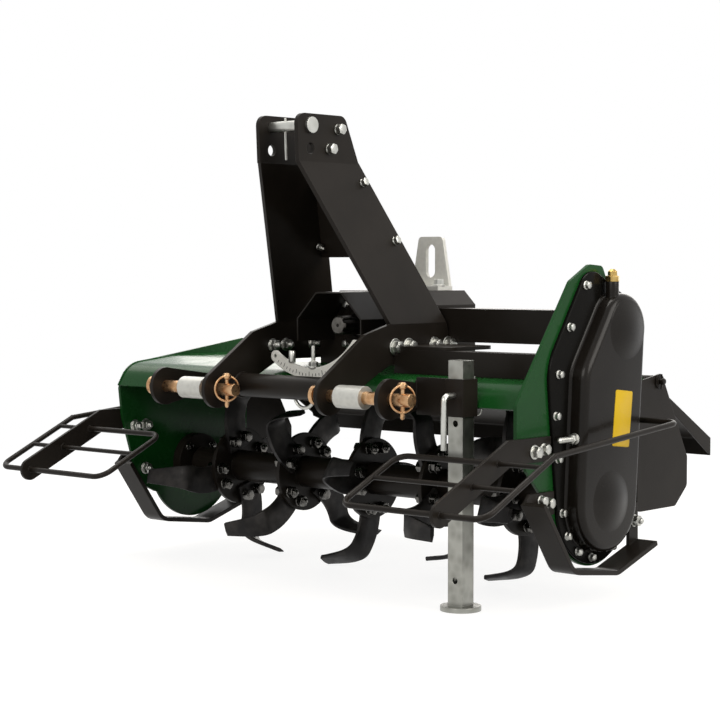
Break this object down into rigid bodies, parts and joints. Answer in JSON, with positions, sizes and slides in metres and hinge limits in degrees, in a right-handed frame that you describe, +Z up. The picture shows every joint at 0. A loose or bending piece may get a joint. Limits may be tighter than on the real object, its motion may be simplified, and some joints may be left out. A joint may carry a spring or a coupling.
{
  "type": "rotary tiller",
  "caption": "Tractor-mounted rotary tiller: tined rotor under a green deck, side chain case, three-point mast, rear flap, parking leg and corner guards.",
  "frame": {"origin": "on the floor, in the middle of the part's length and width", "axes": "+X to the chain-case side, +Y to the rear away from the tractor, +Z up"},
  "size_m": [1.1766, 0.83, 0.827],
  "materials": {
    "black_paint": "semi-gloss",
    "green_paint": "gloss",
    "zinc": "galvanised",
    "gold_zinc": "yellow zinc",
    "bare_steel": "satin",
    "tine_steel": "dark oxide",
    "brass": "satin"
  },
  "bodies": {
    "frame": {"deck_beam": "black_paint", "deck_shelf": "black_paint", "drive_tube": "black_paint", "gearbox": "black_paint", "pto_shield": "black_paint", "hitch_tube": "black_paint", "mast_left": "black_paint", "mast_right": "black_paint", "mast_web": "black_paint", "hitch_plate_left": "black_paint", "hitch_plate_right": "black_paint", "stand_sleeve": "black_paint", "chain_case": "black_paint", "skid_left": "black_paint", "skid_right": "black_paint", "guard_left": "black_paint", "guard_right": "black_paint", "bearing_left": "black_paint", "bearing_right": "black_paint", "wing_left": "black_paint", "wing_right": "black_paint", "deck": "green_paint", "side_panel_left": "green_paint", "side_panel_right": "green_paint", "slotted_lug": "zinc", "arc_plate": "zinc", "top_pin": "zinc", "hitch_sleeve_left": "zinc", "hitch_sleeve_right": "zinc", "stand_pin": "zinc", "hinge_rod": "zinc", "hitch_pin_left": "gold_zinc", "hitch_pin_right": "gold_zinc", "breather": "brass"},
    "rotor": {"rotor_shaft": "black_paint", "tines": "tine_steel"},
    "input_shaft": {"pto_shaft": "bare_steel"},
    "rear_flap": {"tailgate": "black_paint"},
    "parking_leg": {"stand_leg": "zinc"}
  },
  "joints": [
    {"name": "rotor_spin", "type": "hinge", "parent": "frame", "child": "rotor", "pos_m": [0, 0.017, 0.1708], "axis": [1, 0, 0], "continuous": true},
    {"name": "input_spin", "type": "hinge", "parent": "frame", "child": "input_shaft", "pos_m": [0.03, -0.052, 0.4588], "axis": [0, 1, 0], "continuous": true},
    {"name": "flap_lift", "type": "hinge", "parent": "frame", "child": "rear_flap", "pos_m": [0, 0.217, 0.362], "axis": [1, 0, 0], "range_deg": [-40, 50]},
    {"name": "stand_slide", "type": "slide", "parent": "frame", "child": "parking_leg", "axis": [0, 0, 1], "range_m": [0, 0.304]}
  ],
  "couplings": [
    {"joint": "input_spin", "follows": "rotor_spin", "ratio": -2.6}
  ]
}
